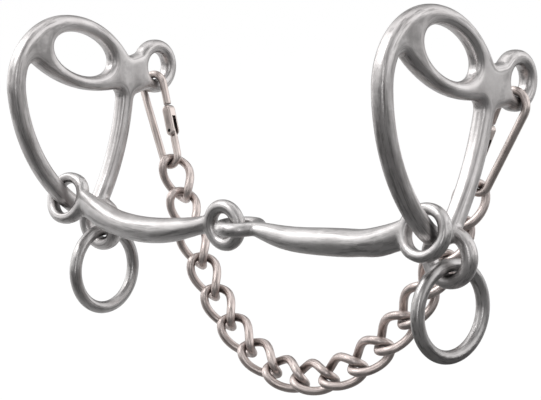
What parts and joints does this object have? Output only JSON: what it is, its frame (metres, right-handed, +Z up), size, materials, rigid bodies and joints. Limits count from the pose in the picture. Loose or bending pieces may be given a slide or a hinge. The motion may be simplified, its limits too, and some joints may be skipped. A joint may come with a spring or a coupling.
{
  "type": "curb bit",
  "caption": "Sliding-cheek curb bit: two looped cheek castings, a jointed curved mouthpiece on their rails, hanging rein rings and a twisted-link curb chain on spring snaps.",
  "frame": {"origin": "middle of the mouthpiece's centre joint", "axes": "+X along the mouthpiece to the right cheek, -Y towards the cheeks' rails (the horse's nose), +Z up as the bit hangs"},
  "size_m": [0.1574, 0.0701, 0.1181],
  "materials": {
    "cheek_steel": "satin",
    "mouth_steel": "satin",
    "ring_steel": "satin",
    "chain_steel": "satin",
    "snap_steel": "satin",
    "rivet_steel": "dark oxide"
  },
  "bodies": {
    "left_cheek": {"left_cheek": "cheek_steel"},
    "left_cannon": {"left_cannon": "mouth_steel"},
    "right_cannon": {"right_cannon": "mouth_steel"},
    "right_cheek": {"right_cheek": "cheek_steel"},
    "left_rein_ring": {"left_rein_ring": "ring_steel"},
    "right_rein_ring": {"right_rein_ring": "ring_steel"},
    "left_snap": {"left_snap_body": "snap_steel", "left_snap_rivet": "rivet_steel", "left_snap_spring": "rivet_steel"},
    "left_gate": {"left_snap_gate": "snap_steel"},
    "right_snap": {"right_snap_body": "snap_steel", "right_snap_rivet": "rivet_steel", "right_snap_spring": "rivet_steel"},
    "right_gate": {"right_snap_gate": "snap_steel"},
    "chain_link_01": {"chain_link_01": "chain_steel"},
    "chain_link_02": {"chain_link_02": "chain_steel"},
    "chain_link_03": {"chain_link_03": "chain_steel"},
    "chain_link_04": {"chain_link_04": "chain_steel"},
    "chain_link_05": {"chain_link_05": "chain_steel"},
    "chain_link_06": {"chain_link_06": "chain_steel"},
    "chain_link_07": {"chain_link_07": "chain_steel"},
    "chain_link_08": {"chain_link_08": "chain_steel"},
    "chain_link_09": {"chain_link_09": "chain_steel"},
    "chain_link_10": {"chain_link_10": "chain_steel"},
    "chain_link_11": {"chain_link_11": "chain_steel"},
    "chain_link_12": {"chain_link_12": "chain_steel"},
    "chain_link_13": {"chain_link_13": "chain_steel"},
    "chain_link_14": {"chain_link_14": "chain_steel"},
    "chain_link_15": {"chain_link_15": "chain_steel"},
    "chain_link_16": {"chain_link_16": "chain_steel"}
  },
  "joints": [
    {"name": "gag_slide", "type": "hinge", "parent": "left_cheek", "child": "left_cannon", "pos_m": [0, 0.03175, 0.04046], "axis": [-1, 0, 0], "range_deg": [0, 38]},
    {"name": "mouth_fold", "type": "hinge", "parent": "left_cannon", "child": "right_cannon", "pos_m": [0, 0, 0], "axis": [-0.0008, 0.9871, -0.1599], "range_deg": [-12, 0]},
    {"name": "right_cheek_slide", "type": "hinge", "parent": "right_cannon", "child": "right_cheek", "pos_m": [0, 0.03175, 0.04046], "axis": [-1, 0, 0], "range_deg": [-38.5, 0.5]},
    {"name": "chain_swing", "type": "hinge", "parent": "left_cheek", "child": "left_snap", "pos_m": [0, 0.04188, 0.0398], "axis": [1, -0.0005, -0.0083], "range_deg": [0, 40]},
    {"name": "right_snap_swing", "type": "hinge", "parent": "right_cheek", "child": "right_snap", "pos_m": [0, 0.04188, 0.0398], "axis": [1, -0.0005, -0.0083], "range_deg": [-0.5, 40.5]},
    {"name": "left_rein_swing", "type": "hinge", "parent": "left_cheek", "child": "left_rein_ring", "pos_m": [-0.07, 0.01454, -0.01327], "axis": [1, 0, 0], "range_deg": [-45, 50]},
    {"name": "left_gate_spring", "type": "hinge", "parent": "left_snap", "child": "left_gate", "pos_m": [-0.06009, 0.03866, 0.02019], "axis": [0.0008, -0.9871, 0.1599], "range_deg": [0, 22], "stiffness_Nm_per_rad": 0.006, "springref_deg": -34.38},
    {"name": "right_rein_swing", "type": "hinge", "parent": "right_cheek", "child": "right_rein_ring", "pos_m": [0.07, 0.00853, -0.01096], "axis": [0.9903, -0.1392, 0], "range_deg": [-30, 50]},
    {"name": "right_gate_spring", "type": "hinge", "parent": "right_snap", "child": "right_gate", "pos_m": [0.05976, 0.03859, 0.0192], "axis": [-0.0008, 0.9871, -0.1599], "range_deg": [0, 22], "stiffness_Nm_per_rad": 0.006, "springref_deg": -34.38},
    {"name": "chain_link_01_bend", "type": "hinge", "parent": "left_snap", "child": "chain_link_01", "pos_m": [-0.05985, 0.03711, 0.01062], "axis": [0.0008, -0.9871, 0.1599], "range_deg": [-0.5, 8.11]},
    {"name": "chain_link_02_bend", "type": "hinge", "parent": "chain_link_01", "child": "chain_link_02", "pos_m": [-0.05551, 0.03544, 0.00026], "axis": [0.0008, -0.9871, 0.1599], "range_deg": [-1.22, 0.5]},
    {"name": "chain_link_03_bend", "type": "hinge", "parent": "chain_link_02", "child": "chain_link_03", "pos_m": [-0.05062, 0.0338, -0.00985], "axis": [0.0008, -0.9871, 0.1599], "range_deg": [-1.22, 0.5]},
    {"name": "chain_link_04_bend", "type": "hinge", "parent": "chain_link_03", "child": "chain_link_04", "pos_m": [-0.04504, 0.03223, -0.0196], "axis": [0.0008, -0.9871, 0.1599], "range_deg": [-1.22, 0.5]},
    {"name": "chain_link_05_bend", "type": "hinge", "parent": "chain_link_04", "child": "chain_link_05", "pos_m": [-0.03858, 0.03074, -0.02881], "axis": [0.0008, -0.9871, 0.1599], "range_deg": [-1.48, 0.5]},
    {"name": "chain_link_06_bend", "type": "hinge", "parent": "chain_link_05", "child": "chain_link_06", "pos_m": [-0.03103, 0.02939, -0.03718], "axis": [0.0008, -0.9871, 0.1599], "range_deg": [-3.24, 0.5]},
    {"name": "chain_link_07_bend", "type": "hinge", "parent": "chain_link_06", "child": "chain_link_07", "pos_m": [-0.02217, 0.02826, -0.04419], "axis": [0.0008, -0.9871, 0.1599], "range_deg": [-7.74, 0.5]},
    {"name": "chain_link_08_bend", "type": "hinge", "parent": "chain_link_07", "child": "chain_link_08", "pos_m": [-0.01195, 0.02748, -0.04907], "axis": [0.0008, -0.9871, 0.1599], "range_deg": [-0.5, 4.27]},
    {"name": "chain_link_16_bend", "type": "hinge", "parent": "right_snap", "child": "chain_link_16", "pos_m": [0.05935, 0.03705, 0.00963], "axis": [0.0008, -0.9871, 0.1599], "range_deg": [-7.9, 0.5]},
    {"name": "chain_link_15_bend", "type": "hinge", "parent": "chain_link_16", "child": "chain_link_15", "pos_m": [0.05485, 0.03538, -0.00065], "axis": [0.0008, -0.9871, 0.1599], "range_deg": [-0.5, 1.22]},
    {"name": "chain_link_14_bend", "type": "hinge", "parent": "chain_link_15", "child": "chain_link_14", "pos_m": [0.04979, 0.03375, -0.01068], "axis": [0.0008, -0.9871, 0.1599], "range_deg": [-0.5, 1.22]},
    {"name": "chain_link_13_bend", "type": "hinge", "parent": "chain_link_14", "child": "chain_link_13", "pos_m": [0.04404, 0.03218, -0.02034], "axis": [0.0008, -0.9871, 0.1599], "range_deg": [-0.5, 1.22]},
    {"name": "chain_link_12_bend", "type": "hinge", "parent": "chain_link_13", "child": "chain_link_12", "pos_m": [0.03742, 0.0307, -0.02944], "axis": [0.0008, -0.9871, 0.1599], "range_deg": [-0.5, 1.58]},
    {"name": "chain_link_11_bend", "type": "hinge", "parent": "chain_link_12", "child": "chain_link_11", "pos_m": [0.02974, 0.02936, -0.03768], "axis": [0.0008, -0.9871, 0.1599], "range_deg": [-0.5, 3.27]},
    {"name": "chain_link_10_bend", "type": "hinge", "parent": "chain_link_11", "child": "chain_link_10", "pos_m": [0.02077, 0.02824, -0.04455], "axis": [0.0008, -0.9871, 0.1599], "range_deg": [-0.5, 7.59]},
    {"name": "chain_link_09_bend", "type": "hinge", "parent": "chain_link_10", "child": "chain_link_09", "pos_m": [0.01047, 0.02747, -0.04925], "axis": [0.0008, -0.9871, 0.1599], "range_deg": [-5.91, 0.5]}
  ],
  "couplings": [
    {"joint": "right_cheek_slide", "follows": "gag_slide", "ratio": -1},
    {"joint": "right_snap_swing", "follows": "chain_swing", "ratio": 1},
    {"joint": "chain_link_01_bend", "follows": "mouth_fold", "ratio": -0.63424},
    {"joint": "chain_link_02_bend", "follows": "mouth_fold", "ratio": 0.06},
    {"joint": "chain_link_03_bend", "follows": "mouth_fold", "ratio": 0.06},
    {"joint": "chain_link_04_bend", "follows": "mouth_fold", "ratio": 0.06},
    {"joint": "chain_link_05_bend", "follows": "mouth_fold", "ratio": 0.081526},
    {"joint": "chain_link_06_bend", "follows": "mouth_fold", "ratio": 0.22828},
    {"joint": "chain_link_07_bend", "follows": "mouth_fold", "ratio": 0.60288},
    {"joint": "chain_link_08_bend", "follows": "mouth_fold", "ratio": -0.31405},
    {"joint": "chain_link_16_bend", "follows": "mouth_fold", "ratio": 0.61699},
    {"joint": "chain_link_15_bend", "follows": "mouth_fold", "ratio": -0.06},
    {"joint": "chain_link_14_bend", "follows": "mouth_fold", "ratio": -0.06},
    {"joint": "chain_link_13_bend", "follows": "mouth_fold", "ratio": -0.06},
    {"joint": "chain_link_12_bend", "follows": "mouth_fold", "ratio": -0.090119},
    {"joint": "chain_link_11_bend", "follows": "mouth_fold", "ratio": -0.23117},
    {"joint": "chain_link_10_bend", "follows": "mouth_fold", "ratio": -0.59068},
    {"joint": "chain_link_09_bend", "follows": "mouth_fold", "ratio": 0.45052}
  ]
}
